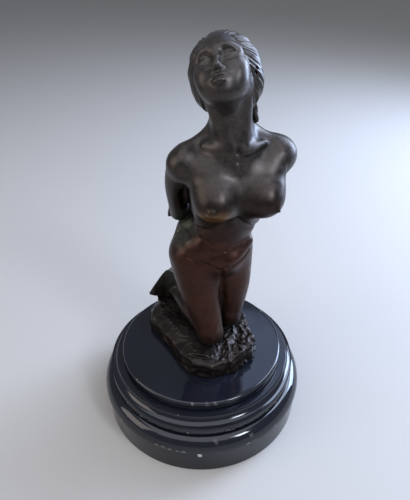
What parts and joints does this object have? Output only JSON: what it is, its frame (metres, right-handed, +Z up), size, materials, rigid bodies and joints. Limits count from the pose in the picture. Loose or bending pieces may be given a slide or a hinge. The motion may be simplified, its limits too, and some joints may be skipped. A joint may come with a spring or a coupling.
{
  "type": "bronze figurine on marble plinth",
  "caption": "Small cast bronze statuette of a kneeling female nude, head thrown back and arms folded behind, on a round turned plinth of polished black marble.",
  "frame": {"origin": "on the plinth's axis at its flat underside, where the object stands on a table", "axes": "+Z up along the plinth's axis, -Y towards the viewer that the figure faces, her right side towards -X"},
  "size_m": [0.136, 0.136, 0.2438],
  "materials": {
    "bronze": "dark brown patinated cast bronze, rubbed reddish brown on the thighs and belly",
    "black_marble": "polished black marble with chipped edges and fine scratches"
  },
  "bodies": {
    "root": {"bronze_figure": "bronze", "plinth": "black_marble"}
  },
  "joints": []
}
